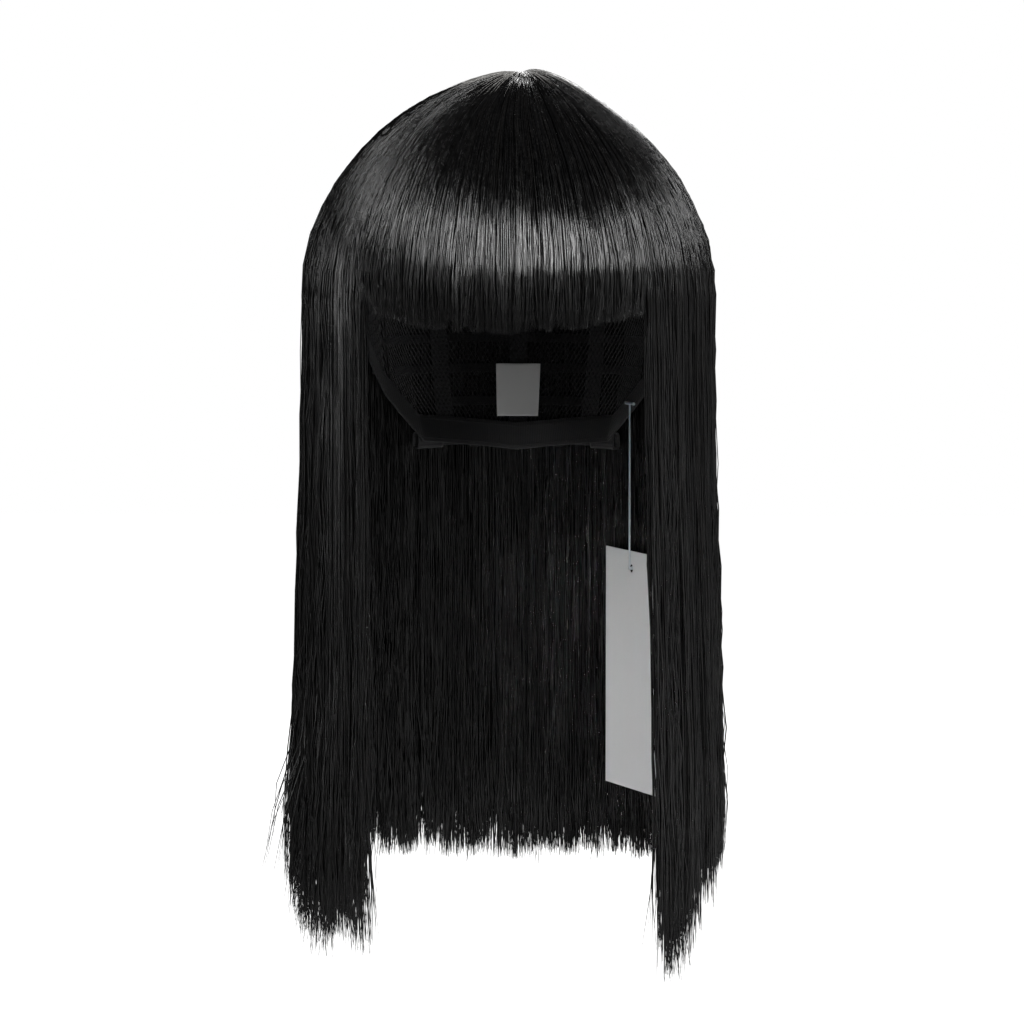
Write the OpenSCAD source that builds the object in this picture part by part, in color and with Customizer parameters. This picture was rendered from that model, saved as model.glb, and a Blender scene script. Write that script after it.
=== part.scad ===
// Straight fringed costume wig: a machine-wefted stretch cap, its adjusters and tags,
// and the hair, which hangs in sections that swing from the cap.
// The face looks along -Y, +Z is up, and the origin is the middle of the head opening
// at brow height. Angles called "round" run from the face (0) over the wearer's left
// side at +X (90) to the back (180).

/* [Head] */
// Half the width of the head that the cap fits
head_half_w = 77.5; // [75:0.5:80]
// Half the depth of the head
head_half_d = 98; // [95:0.5:101]
// Height of the crown of the head above the brow
head_up = 88; // [84:0.5:92]
// Half height of the ellipsoid that the head follows below the brow
head_low = 130; // [124:1:140]

/* [Hair] */
// Half the width of the hair at brow height
hair_half_w = 92; // [90:0.5:98]
// Half the depth of the hair at brow height
hair_half_d = 113; // [111:0.5:120]
// Height of the top of the hair above the brow
hair_up = 100; // [98:0.5:108]
// How much wider each side of the hair is at its ends
hair_flare = 5; // [0:0.5:10]
// How pointed the crown is: 1 is a plain ellipsoid
crown_point = 1.22; // [1.1:0.02:1.3]
// Lowest tip of the longest lock, below the brow
hair_drop = 290; // [240:5:340]
// Lower edge of the fringe, below the brow
fringe_drop = 11; // [6:1:16]

/* [Cap] */
// Height of the binding bands
band_h = 12; // [10:0.5:14]
// Width of the elastic ribs
rib_w = 8; // [6:0.5:10]
// Height of a weft's stitched track
weft_h = 4; // [3:0.5:5]

/* [Adjusters] */
// Width of the adjuster elastic
strap_w = 6; // [5:0.5:6.5]
// Angle between two hook loops round the nape
loop_pitch = 7; // [7:0.5:8]

/* [Tag] */
// Width of the swing tag
tag_w = 56; // [40:1:60]
// Height of the swing tag
tag_h = 110; // [80:1:115]

/* [Hidden] */

black = [0.03, 0.03, 0.032];
hair_black = [0.02, 0.02, 0.022];
white = [0.9, 0.9, 0.92];

// Layers of the cap: how far each lies outside the head
band_in = 0;
band_out = 0.9;
net_in = 1.15;
net_out = 1.5;
patch_in = 1.9;
patch_out = 2.5;
weft_in = 3.0;
weft_out = 4.5;
hair_in = 5.2;

// Places round the head where the hair is parted into sections
part_gap = 1.2;
fringe_end = 41;
front_lock = [42.5, 82];
side_curtain = [82, 128];
back_side = [128, 163];
back_center = [163, 197];

// The nape adjusters lie on a circle that hugs the nape band
nape_y = 28;
nape_r = 58;
nape_z = -70;
strap_t = 1;
tape_t = 0.8;
hook_t = 0.8;

// The swing tag hangs inside the hair behind the wearer's left ear
tag_x = 53.6;
tag_y = 56.6;
tag_bottom = -230;
tag_turn = 25.6;
tag_t = 0.5;
tag_hole_r = 2;
tag_hole_z = tag_bottom + tag_h - 8;
seam_z = -52;
filament_r = 0.45;

// How far below the brow the cap's edge and the hair's tips lie, by the angle round.
// Both sides of the cap are alike. The hair is cut a little shorter on the +X side's mirror.
cap_edge = [[0, 46], [35, 44], [60, 14], [72, -4], [84, -6], [95, 4], [110, -8],
            [125, -48], [140, -70], [180, -75]];
tips = [[0, 5], [62, 0], [82, 25], [105, 34], [180, 28], [255, 32], [278, 25],
        [298, 14], [360, 18]];

function side_of(round) = round <= 180 ? round : 360 - round;
function edge_z(round) = lookup(side_of(round), cap_edge);
function tip_z(round) = -hair_drop + lookup(round, tips);
function lerp(a, b, t) = a + (b - a) * t;
function ease(t) = let (u = min(1, max(0, t))) u * u * (3 - 2 * u);
function steps(a, b, n) = [for (i = [0:n]) lerp(a, b, i / n)];

// Tilt from the crown (0) through the brow (90) at a height above or below the brow
function head_tilt(z) = acos(z / (z > 0 ? head_up : head_low));
function hair_tilt(z) = acos(max(z, 0) / hair_up);

// A point on the head, `off` outside it
function on_head(round, tilt, off) = [
    (head_half_w + off) * sin(tilt) * sin(round),
    -(head_half_d + off) * sin(tilt) * cos(round),
    ((tilt < 90 ? head_up : head_low) + off) * cos(tilt)
];
function at_height(round, z, off) =
    on_head(round, acos(z / ((z > 0 ? head_up : head_low) + off)), off);

// Points on the inside and the outside of the hair
function hair_inside(round, z) =
    let (s = z > 0 ? sqrt(1 - pow(z / (head_up + hair_in), 2)) : 1)
    [(head_half_w + hair_in) * s * sin(round), -(head_half_d + hair_in) * s * cos(round), z];
function hair_outside(round, z) =
    let (s = pow(sin(hair_tilt(z)), crown_point), flare = hair_flare * ease(-z / 230))
    [(hair_half_w + flare) * s * sin(round), -(hair_half_d + flare / 2) * s * cos(round), z];

// A closed sheet between two grids of points, rows running down and columns round
module thick_sheet(outside, inside) {
    rows = len(outside);
    cols = len(outside[0]);
    n = rows * cols;
    function at(i, j) = i * cols + j;
    function quad(a, b, c, d) = [[a, b, c], [a, c, d]];
    skin = [for (i = [0:rows - 2], j = [0:cols - 2])
        each quad(at(i, j), at(i, j + 1), at(i + 1, j + 1), at(i + 1, j))];
    lining = [for (i = [0:rows - 2], j = [0:cols - 2])
        each quad(n + at(i, j), n + at(i + 1, j), n + at(i + 1, j + 1), n + at(i, j + 1))];
    rims = [for (j = [0:cols - 2]) each concat(
        quad(at(0, j + 1), at(0, j), n + at(0, j), n + at(0, j + 1)),
        quad(at(rows - 1, j), at(rows - 1, j + 1), n + at(rows - 1, j + 1), n + at(rows - 1, j)))];
    sides = [for (i = [0:rows - 2]) each concat(
        quad(at(i, 0), at(i + 1, 0), n + at(i + 1, 0), n + at(i, 0)),
        quad(at(i + 1, cols - 1), at(i, cols - 1), n + at(i, cols - 1), n + at(i + 1, cols - 1)))];
    polyhedron([each each outside, each each inside], concat(skin, lining, rims, sides), 4);
}

// A closed dome between two stacks of rings, each with its own top point
module thick_dome(outside, inside, outside_top, inside_top) {
    rows = len(outside);
    cols = len(outside[0]);
    n = rows * cols;
    function at(i, j) = i * cols + j % cols;
    function quad(a, b, c, d) = [[a, b, c], [a, c, d]];
    skin = [for (i = [0:rows - 2], j = [0:cols - 1])
        each quad(at(i, j), at(i, j + 1), at(i + 1, j + 1), at(i + 1, j))];
    lining = [for (i = [0:rows - 2], j = [0:cols - 1])
        each quad(n + at(i, j), n + at(i + 1, j), n + at(i + 1, j + 1), n + at(i, j + 1))];
    rim = [for (j = [0:cols - 1])
        each quad(at(rows - 1, j), at(rows - 1, j + 1), n + at(rows - 1, j + 1), n + at(rows - 1, j))];
    caps = [for (j = [0:cols - 1])
        each [[2 * n, at(0, j + 1), at(0, j)], [2 * n + 1, n + at(0, j), n + at(0, j + 1)]]];
    polyhedron([each each outside, each each inside, outside_top, inside_top],
               concat(skin, lining, rim, caps), 4);
}

// A band on the head along the cap's edge, from one angle round to another
module edge_band(from, to, cols) {
    function grid(off) = [for (up = [band_h, band_h / 2, 0])
        [for (r = steps(from, to, cols)) at_height(r, edge_z(r) + up, off)]];
    thick_sheet(grid(band_out), grid(band_in));
}

// A net panel from the skin patch down to the bands
module net_panel(from, to, cols, rows = 8) {
    top_tilt = 18;
    function grid(off) = [for (k = steps(0, 1, rows))
        [for (r = steps(from, to, cols))
            on_head(r, lerp(top_tilt, head_tilt(edge_z(r) + band_h + 1), k), off)]];
    thick_sheet(grid(net_out), grid(net_in));
}

// An elastic rib from the skin patch to the band, `round` being its middle
module rib(round) {
    half_turn = atan(rib_w / 2 / head_half_w);
    bottom = head_tilt(edge_z(round) + band_h);
    function turn(tilt) = half_turn / max(sin(tilt), 0.34);
    function grid(off) = [for (t = steps(23, bottom, 14))
        [for (side = [-1, 1]) on_head(round + side * turn(t), t, off)]];
    thick_sheet(grid(patch_out), grid(patch_in));
}

// A weft's stitched track round the head at one height
module weft(from, to, z, cols) {
    function grid(off) = [for (dz = [weft_h / 2, -weft_h / 2])
        [for (r = steps(from, to, cols)) at_height(r, z + dz, off)]];
    thick_sheet(grid(weft_out), grid(weft_in));
}

// The scalp-like patch that the crown's hair is knotted into
module crown_skin_patch() {
    turns = [for (k = [0:23]) 15 * k];
    function rings(off) = [for (t = [7, 14, 21]) [for (r = turns) on_head(r, t, off)]];
    color([0.72, 0.6, 0.5])
        thick_dome(rings(patch_out), rings(patch_in),
                   [0, 0, head_up + patch_out], [0, 0, head_up + patch_in]);
}

// The tracks round the skin patch that the fan of crown hair is sewn to
module crown_weft_ring() {
    function grid(start, off) = [for (t = [24, 27])
        [for (r = steps(start, start + 174, 20)) on_head(r, t, off)]];
    for (start = [3, 183]) color(black) thick_sheet(grid(start, weft_out), grid(start, weft_in));
}

// A section of hair between two angles round and two heights. A section that swings has a top
// that slants down outwards and is lower at its ends, which leaves room for it to tip.
module hair_section(from, to, top, bottom_of, cols, rows, slant = 0, arch = 0) {
    function grid(inner) = [for (k = steps(0, 1, rows))
        [for (r = steps(from, to, cols))
            let (u = 2 * (r - from) / (to - from) - 1,
                 z = lerp(top - arch * u * u - (inner ? 0 : slant), bottom_of(r), k))
            inner ? hair_inside(r, z) : hair_outside(r, z)]];
    thick_sheet(grid(false), grid(true));
}

module crown_hair() {
    turns = [for (k = [0:35]) 10 * k];
    rim = 46;
    outside = [for (t = steps(8, hair_tilt(rim), 6)) [for (r = turns) hair_outside(r, hair_up * cos(t))]];
    inside = [for (t = steps(8, acos(rim / (head_up + hair_in)), 6)) [for (r = turns) on_head(r, t, hair_in)]];
    color(hair_black) thick_dome(outside, inside, [0, 0, hair_up], [0, 0, head_up + hair_in]);
}

// The hair that lies on the head between the crown and the hanging sections
module temple_hair() color(hair_black)
    hair_section(front_lock[0] + part_gap, 115, 45.4, function(r) 9, 9, 3);

module occiput_hair() color(hair_black)
    hair_section(116, 244, 45.4, function(r) 9, 16, 3);

module curtain(span) color(hair_black)
    hair_section(span[0] + part_gap / 2, span[1] - part_gap / 2, 7,
                 function(r) tip_z(r), 6, 9, 9, 4);

module mirrored_curtain(span) curtain([360 - span[1], 360 - span[0]]);

module fringe() color(hair_black)
    hair_section(-fringe_end, fringe_end, 44, function(r) -fringe_drop + 5 * pow(abs(r) / fringe_end, 2),
                 12, 5, 4, 12);

// An ear tab: a rounded tongue of felt that hangs inside the front lock
ear_tab_middle = 78;
ear_tab_rows = [[-7, 9], [-14, 9], [-22, 8.4], [-30, 7], [-35, 5], [-38, 2.4]];
module ear_tab() {
    function grid(off) = [for (row = ear_tab_rows)
        [for (u = [-1, -0.5, 0, 0.5, 1]) at_height(ear_tab_middle + u * row[1], row[0], off)]];
    color(black) thick_sheet(grid(1.3), grid(0.2));
}

// The flat metal stay in a pocket on the outside of the ear tab
module ear_stay() {
    function grid(off) = [for (z = steps(-9, -33, 4))
        [for (u = [-1.6, 1.6]) at_height(ear_tab_middle + u, z, off)]];
    color("silver") thick_sheet(grid(2.0), grid(1.5));
}

// A curved bar round the nape, from one angle from the middle of the nape to another
module nape_bar(from, to, inner, outer, low, high)
    translate([0, nape_y, low]) rotate([0, 0, 90 - to])
        rotate_extrude(angle = to - from, $fn = 96)
            translate([inner, 0]) square([outer - inner, high - low]);

module strap_casing() color(black) difference() {
    nape_bar(36, 51, nape_r - 0.6, nape_r + 3.6, nape_z - strap_w / 2 - 1, nape_z + strap_w / 2 + 1);
    nape_bar(35, 50, nape_r + 1.3, nape_r + 3.1, nape_z - strap_w / 2 - 0.3, nape_z + strap_w / 2 + 0.3);
}

// The tape with the loops that the hook catches in
module loop_tape() color(black) {
    half = strap_w / 2 + 1;
    top = nape_r + tape_t;
    nape_bar(0.5, 12.5, nape_r, top, nape_z - half, nape_z + half);
    for (k = [0, 1]) {
        at = 1.5 + k * loop_pitch;
        for (low = [-half, half - 0.8])
            nape_bar(at - 0.5, at + 0.5, top - 0.4, top + 2, nape_z + low, nape_z + low + 0.8);
        nape_bar(at - 0.5, at + 0.5, top + 1.2, top + 2, nape_z - half + 0.4, nape_z + half - 0.4);
    }
}

strap_in = nape_r + 1.7;
module strap() color([0.06, 0.06, 0.065])
    nape_bar(17, 49, strap_in, strap_in + strap_t, nape_z - strap_w / 2, nape_z + strap_w / 2);

// A moulded hook: an arm over the loop, a tongue back under it, and a slotted frame for the strap
module hook() color([0.1, 0.1, 0.1]) {
    arm_in = nape_r + tape_t + 2.2;
    tongue_in = nape_r + tape_t + 0.2;
    half = strap_w / 2;
    bend = 1.5 + loop_pitch - 2.6;
    low = nape_z - half + 1;
    high = nape_z + half - 1;
    nape_bar(bend + 0.1, 18.2, arm_in, arm_in + hook_t, low, high);
    nape_bar(bend, bend + 0.8, tongue_in, arm_in + hook_t - 0.1, low - 0.1, high + 0.1);
    nape_bar(bend + 0.4, bend + 4.2, tongue_in + 0.05, tongue_in + hook_t, low, high);
    for (rail = [-half - 1, half + 0.1])
        nape_bar(17.5, 22.1, tongue_in, arm_in + hook_t + 0.1, nape_z + rail, nape_z + rail + 0.9);
    for (at = [17.6, 20.8])
        nape_bar(at, at + 1.2, arm_in - 0.05, arm_in + hook_t + 0.05, nape_z - half - 0.5, nape_z + half + 0.5);
    nape_bar(19.2, 20.4, tongue_in + 0.05, strap_in - 0.15, nape_z - half - 0.5, nape_z + half + 0.5);
}

// A woven label sewn inside the nape, blank
module care_label() {
    function grid(off) = [for (z = [-36, -48, -60])
        [for (r = [172, 176, 180, 184, 188]) at_height(r, z, off)]];
    color(white) thick_sheet(grid(-0.3), grid(-0.7));
}

// The tag and its fastener are drawn facing out along +X, then turned to follow the hair
module at_tag() translate([tag_x, tag_y, 0]) rotate([0, 0, tag_turn]) children();

module swing_tag() color(white) at_tag() difference() {
    translate([-tag_t / 2, -tag_w / 2, tag_bottom]) cube([tag_t, tag_w, tag_h]);
    translate([-tag_t, 0, tag_hole_z]) rotate([0, 90, 0]) cylinder(r = tag_hole_r, h = 2 * tag_t, $fn = 32);
}

// A moulded tag pin: a filament with a bar in the seam at the top and a bar through the tag
module tag_fastener() color([0.85, 0.85, 0.85]) at_tag() {
    filament_x = -tag_t / 2 - filament_r - 0.35;
    translate([filament_x, 0, tag_hole_z]) cylinder(r = filament_r, h = seam_z - tag_hole_z, $fn = 24);
    translate([filament_x, 0, seam_z]) rotate([90, 0, 0])
        cylinder(r = 0.7, h = 9, center = true, $fn = 24);
    translate([filament_x - 0.45, 0, tag_hole_z]) rotate([0, 90, 0])
        cylinder(r = 0.7, h = 3.5, $fn = 24);
    translate([filament_x + 3.05, 0, tag_hole_z]) rotate([90, 0, 0])
        cylinder(r = 0.7, h = 7, center = true, $fn = 24);
}

rib_places = [102, 125, 152, 180, 208, 235, 258];
fringe_weft_heights = [67, 61, 55];
// Each back weft: its height and the angle round where it starts
back_wefts = [[62, 62], [48, 64], [34, 66], [21, 68], [6, 118], [-9, 122], [-24, 126], [-38, 134], [-53, 150]];

module back_weft(row) color(black)
    weft(row[1], 360 - row[1], row[0], max(12, round((360 - 2 * row[1]) / 7)));

crown_skin_patch();
color(black) net_panel(-50, 50, 16, 4);  // front_net
color(black) net_panel(51, 129, 15);  // right_net
color(black) net_panel(231, 309, 15);  // left_net
color(black) net_panel(130, 230, 16);  // back_net
for (k = [0:6]) color(black) rib(rib_places[k]);
crown_weft_ring();
for (k = [0:2]) color(black) weft(-44, 44, fringe_weft_heights[k], 14);
for (k = [0:8]) back_weft(back_wefts[k]);
color(black) edge_band(-58, 58, 20);  // front_band
color(black) edge_band(59, 118, 12);  // right_ear_band
color(black) edge_band(242, 301, 12);  // left_ear_band
color(black) edge_band(119, 241, 20);  // nape_band
ear_tab();  // right_ear_tab
mirror([1, 0, 0]) ear_tab();  // left_ear_tab
ear_stay();  // right_ear_stay
mirror([1, 0, 0]) ear_stay();  // left_ear_stay
strap_casing();  // right_strap_casing
mirror([1, 0, 0]) strap_casing();  // left_strap_casing
loop_tape();  // right_loop_tape
mirror([1, 0, 0]) loop_tape();  // left_loop_tape
strap();  // right_strap
mirror([1, 0, 0]) strap();  // left_strap
hook();  // right_hook
mirror([1, 0, 0]) hook();  // left_hook
care_label();
tag_fastener();
swing_tag();
crown_hair();
temple_hair();  // right_temple_hair
mirror([1, 0, 0]) temple_hair();  // left_temple_hair
occiput_hair();
fringe();
curtain(front_lock);  // right_front_lock
curtain(side_curtain);  // right_side_curtain
curtain(back_side);  // back_right_curtain
curtain(back_center);  // back_center_curtain
mirrored_curtain(back_side);  // back_left_curtain
mirrored_curtain(side_curtain);  // left_side_curtain
mirrored_curtain(front_lock);  // left_front_lock
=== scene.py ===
"""Looks of a straight fringed costume wig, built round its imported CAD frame.

Every length is in metres in the CAD's frame: the face looks along -Y and +Z is up.
"Turn" is the angle round the head in degrees, 0 at the face, 90 at +X and 180 at the back.
A "station" says how far down the hair a point is: up to 90 it is the tilt from the crown in
degrees, and past 90 it counts millimetres below the brow.
"""

from __future__ import annotations

import logging
import math
from collections.abc import Callable, Iterable, Sequence
from dataclasses import dataclass, field
from enum import Enum

import bmesh
import bpy
import numpy as np
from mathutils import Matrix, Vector


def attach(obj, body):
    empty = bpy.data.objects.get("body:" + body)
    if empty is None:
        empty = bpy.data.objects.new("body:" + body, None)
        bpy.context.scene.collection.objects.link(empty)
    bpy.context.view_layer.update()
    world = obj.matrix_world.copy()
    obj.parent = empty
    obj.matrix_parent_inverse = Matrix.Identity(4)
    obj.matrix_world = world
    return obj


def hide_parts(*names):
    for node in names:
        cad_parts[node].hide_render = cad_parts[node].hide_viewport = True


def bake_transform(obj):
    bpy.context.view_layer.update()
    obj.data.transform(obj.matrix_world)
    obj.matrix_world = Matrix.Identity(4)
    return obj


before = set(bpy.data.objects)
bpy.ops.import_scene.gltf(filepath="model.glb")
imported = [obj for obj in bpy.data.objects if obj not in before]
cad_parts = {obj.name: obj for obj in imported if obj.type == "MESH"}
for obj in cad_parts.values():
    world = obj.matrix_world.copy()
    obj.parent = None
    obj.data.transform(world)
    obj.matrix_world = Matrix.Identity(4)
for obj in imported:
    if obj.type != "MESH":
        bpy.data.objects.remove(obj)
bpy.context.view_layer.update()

log = logging.getLogger("wig")
MM = 0.001
Colour = tuple[float, float, float]
Table = Sequence[tuple[float, float]]


class Side(Enum):
    """The two sides of the cap. RIGHT is +X."""

    RIGHT = 1
    LEFT = -1


class Weave(Enum):
    """How a woven cloth's threads lie."""

    SATIN = "satin"
    PLAIN = "plain"
    RIBBED = "ribbed"


def eased(x: np.ndarray | float) -> np.ndarray:
    """A smooth step from 0 to 1 as x goes from 0 to 1."""
    x = np.clip(x, 0.0, 1.0)
    return x * x * (3 - 2 * x)


def looked_up(x: np.ndarray | float, table: Table) -> np.ndarray:
    """Values between the rows of a table.

    Args:
        x: where to read.
        table: rows of (place, value), in rising order of place.

    Returns:
        The value at each place.
    """
    places, values = zip(*table, strict=True)
    return np.interp(x, places, values)


# ---------------------------------------------------------------- the forms


@dataclass(frozen=True)
class HeadForm:
    """The head the cap fits: half an ellipsoid above the brow and half a taller one below."""

    half_w: float = 0.0775
    half_d: float = 0.098
    up: float = 0.088
    low: float = 0.130

    def on_head(self, turn: np.ndarray, tilt: np.ndarray, off: float) -> np.ndarray:
        """Points `off` outside the head at a turn and a tilt from the crown, in degrees."""
        t, p = np.radians(turn), np.radians(tilt)
        high = np.where(np.asarray(tilt) < 90, self.up, self.low) + off
        x = (self.half_w + off) * np.sin(p) * np.sin(t)
        y = -(self.half_d + off) * np.sin(p) * np.cos(t)
        return np.stack(np.broadcast_arrays(x, y, high * np.cos(p)), -1)

    def tilt_at(self, z: np.ndarray, off: float = 0.0) -> np.ndarray:
        """The tilt from the crown, in degrees, at which a surface `off` outside the head has a height."""
        z = np.asarray(z, float)
        high = np.where(z > 0, self.up, self.low) + off
        return np.degrees(np.arccos(np.clip(z / high, -1, 1)))

    def at_height(self, turn: np.ndarray, z: np.ndarray, off: float) -> np.ndarray:
        """Points `off` outside the head at a turn in degrees and a height."""
        return self.on_head(turn, self.tilt_at(z, off), off)


@dataclass(frozen=True)
class HairForm:
    """The inside and outside of the hair, and the whorl that it fans out from."""

    half_w: float = 0.092
    half_d: float = 0.113
    up: float = 0.100
    flare: float = 0.005
    point: float = 1.22
    gap: float = 0.0052
    whorl: tuple[float, float] = (0.0045, -0.011)
    crest: tuple[float, float, float] = (0.016, 0.004, 0.0022)
    head: HeadForm = HeadForm()

    def place(self, turn: np.ndarray, station: np.ndarray, depth: np.ndarray) -> np.ndarray:
        """Points in the thickness of the hair.

        Args:
            turn: degrees round the head.
            station: how far down the hair, as the module says.
            depth: 0 on the outside of the hair and 1 on its inside.

        Returns:
            Points with a last axis of three.
        """
        turn, station, depth = np.broadcast_arrays(turn, station, depth)
        tilt = np.radians(np.minimum(station, 90))
        below = np.maximum(station - 90, 0) * MM
        t = np.radians(turn)
        flare = self.flare * eased(below / 0.23)
        out = np.power(np.maximum(np.sin(tilt), 1e-4), self.point)
        ins = np.sin(tilt)
        w, d = self.head.half_w + self.gap, self.head.half_d + self.gap
        x = ((self.half_w + flare) * out * (1 - depth) + w * ins * depth) * np.sin(t)
        y = -((self.half_d + flare / 2) * out * (1 - depth) + d * ins * depth) * np.cos(t)
        z = (self.up * (1 - depth) + (self.head.up + self.gap) * depth) * np.cos(tilt) - below
        near = 1 - eased(station / 42)
        x, y = x + self.whorl[0] * near, y + self.whorl[1] * near
        crest_x, crest_y, rise = self.crest
        z = z + rise * (1 - depth) * np.exp(-((x - crest_x) ** 2 + (y - crest_y) ** 2) / 0.016**2)
        return np.stack([x, y, z], -1)


HEAD = HeadForm()
HAIR = HairForm()

# ---------------------------------------------------------------- finishes


class Wire:
    """A node's output that can be added, multiplied and so on, each as a Math node."""

    def __init__(self, nodes: Nodes, out: bpy.types.NodeSocket) -> None:
        """Wraps an output socket of the tree that `nodes` draws."""
        self.nodes, self.out = nodes, out

    def _math(self, operation: str, *others: Wire | float) -> Wire:
        """A Math node of self and the others."""
        return self.nodes.node("ShaderNodeMath", [self, *others], operation=operation)

    def __add__(self, other: Wire | float) -> Wire:
        """Self plus other."""
        return self._math("ADD", other)

    def __sub__(self, other: Wire | float) -> Wire:
        """Self less other."""
        return self._math("SUBTRACT", other)

    def __rsub__(self, other: float) -> Wire:
        """A number less self."""
        return self * -1.0 + other

    def __mul__(self, other: Wire | float) -> Wire:
        """Self times other."""
        return self._math("MULTIPLY", other)

    __radd__ = __add__
    __rmul__ = __mul__

    def wave(self, pitch: float) -> Wire:
        """A sine from 0 to 1 that repeats each `pitch` of self."""
        return (self * (2 * math.pi / pitch))._math("SINE") * 0.5 + 0.5

    def stretched(self, x: float, y: float, z: float) -> Wire:
        """A vector self with each axis multiplied."""
        return self.nodes.node("ShaderNodeVectorMath", [self, (x, y, z)], operation="MULTIPLY")


class Nodes:
    """Draws one material's node tree round its Principled shader."""

    def __init__(self, name: str) -> None:
        """Makes an empty material of that name."""
        self.material = bpy.data.materials.new(name)
        self.material.use_nodes = True
        self.tree = self.material.node_tree
        self.shader = self.tree.nodes["Principled BSDF"]

    def node(
        self, kind: str, inputs: Sequence | dict, out: int | str = 0, **settings: object
    ) -> Wire:
        """Adds any node.

        Args:
            kind: the node's type name.
            inputs: what feeds its sockets, in order or by name.
            out: which output to return.
            **settings: the node's own properties.

        Returns:
            The chosen output.
        """
        made = self.tree.nodes.new(kind)
        for key, value in settings.items():
            setattr(made, key, value)
        pairs = inputs.items() if isinstance(inputs, dict) else enumerate(inputs)
        for key, value in pairs:
            if isinstance(value, Wire):
                self.tree.links.new(value.out, made.inputs[key])
            else:
                made.inputs[key].default_value = value
        return Wire(self, made.outputs[out])

    def coords(self, kind: str = "Object") -> Wire:
        """The Object or UV coordinates."""
        return self.node("ShaderNodeTexCoord", [], out=kind)

    def axis(self, vector: Wire, name: str) -> Wire:
        """One axis of a vector, "X", "Y" or "Z"."""
        return self.node("ShaderNodeSeparateXYZ", [vector], out=name)

    def noise(self, where: Wire, scale: float, detail: float = 3, rough: float = 0.55) -> Wire:
        """Noise from 0 to 1."""
        wanted = {"Vector": where, "Scale": scale, "Detail": detail, "Roughness": rough}
        return self.node("ShaderNodeTexNoise", wanted)

    def ramp(self, fac: Wire, low: float, high: float) -> Wire:
        """Fac spread so that low becomes 0 and high becomes 1."""
        wanted = {"Value": fac, "From Min": low, "From Max": high}
        return self.node("ShaderNodeMapRange", wanted)

    def mix(self, fac: Wire, a: Colour | Wire, b: Colour | Wire) -> Wire:
        """A colour between a and b."""
        made = self.tree.nodes.new("ShaderNodeMix")
        made.data_type = "RGBA"
        self.tree.links.new(fac.out, made.inputs[0])
        for index, value in ((6, a), (7, b)):
            if isinstance(value, Wire):
                self.tree.links.new(value.out, made.inputs[index])
            else:
                made.inputs[index].default_value = (*value, 1)
        return Wire(self, made.outputs[2])

    def feed(self, socket: str, value: Wire | float | Colour) -> None:
        """Sets or links one socket of the shader."""
        if isinstance(value, Wire):
            self.tree.links.new(value.out, self.shader.inputs[socket])
        elif isinstance(value, tuple):
            self.shader.inputs[socket].default_value = (*value, 1)
        else:
            self.shader.inputs[socket].default_value = value

    def bump(self, height: Wire, distance: float, strength: float = 1.0) -> None:
        """Links a Bump node of that height, in metres, to Normal."""
        wanted = {"Height": height, "Distance": distance, "Strength": strength}
        self.feed("Normal", self.node("ShaderNodeBump", wanted, out="Normal"))


@dataclass(frozen=True)
class Fibre:
    """Straight glossy synthetic hair fibre, whose gloss varies a little from strand to strand."""

    name: str
    deep: Colour
    light: Colour
    roughness: float
    uneven: float = 0.1

    def material(self) -> bpy.types.Material:
        """The finish as a material."""
        n = Nodes(self.name)
        where = n.coords()
        fine = n.ramp(n.noise(where.stretched(1, 1, 0.03), 900, 2), 0.4, 0.66)
        broad = n.ramp(n.noise(where.stretched(1, 1, 0.04), 420, 3), 0.35, 0.65)
        n.feed("Base Color", n.mix(fine, self.deep, self.light))
        n.feed("Roughness", broad * self.uneven + (self.roughness - self.uneven / 2))
        n.feed("IOR", 1.52)
        return n.material


@dataclass(frozen=True)
class Cloth:
    """A woven or knitted cloth on its own UV map, which is in metres."""

    name: str
    deep: Colour
    light: Colour
    weave: Weave
    pitch: float
    roughness: float = 0.6
    sheen: float = 0.15

    def material(self) -> bpy.types.Material:
        """The finish as a material."""
        n = Nodes(self.name)
        uv = n.coords("UV")
        along, across = n.axis(uv, "X"), n.axis(uv, "Y")
        fuzz = n.noise(uv, 2500, 3)
        if self.weave is Weave.RIBBED:
            height = across.wave(self.pitch) * 0.7 + along.wave(self.pitch * 0.6) * 0.3
        elif self.weave is Weave.SATIN:
            height = across.wave(self.pitch) * 0.4 + (along + across * 3).wave(self.pitch * 3) * 0.6
        else:
            height = along.wave(self.pitch) * across.wave(self.pitch)
        worn = n.noise(uv, 60, 4)
        shade = height * 0.5 + fuzz * 0.25 + worn * 0.25
        n.feed("Base Color", n.mix(shade, self.deep, self.light))
        n.feed("Roughness", n.ramp(worn, -0.5, 1.5) * 0.2 + (self.roughness - 0.1))
        n.feed("Sheen Weight", self.sheen)
        n.bump(height + fuzz * 0.3, self.pitch * 0.35, 0.8)
        return n.material


@dataclass(frozen=True)
class Grained:
    """A solid stuff with a grain that runs through it: plastic, card, felt or metal."""

    name: str
    deep: Colour
    light: Colour
    roughness: float
    grain: float
    depth: float
    stretch: tuple[float, float, float] = (1, 1, 1)
    metallic: float = 0.0
    sheen: float = 0.0

    def material(self) -> bpy.types.Material:
        """The finish as a material."""
        n = Nodes(self.name)
        where = n.coords().stretched(*self.stretch)
        fine = n.noise(where, 1 / self.grain, 4, 0.6)
        broad = n.noise(where, 0.08 / self.grain, 3)
        n.feed("Base Color", n.mix(fine * 0.6 + broad * 0.4, self.deep, self.light))
        n.feed("Roughness", broad * 0.25 + (self.roughness - 0.12))
        n.feed("Metallic", self.metallic)
        n.feed("Sheen Weight", self.sheen)
        n.bump(fine, self.depth)
        return n.material


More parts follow.
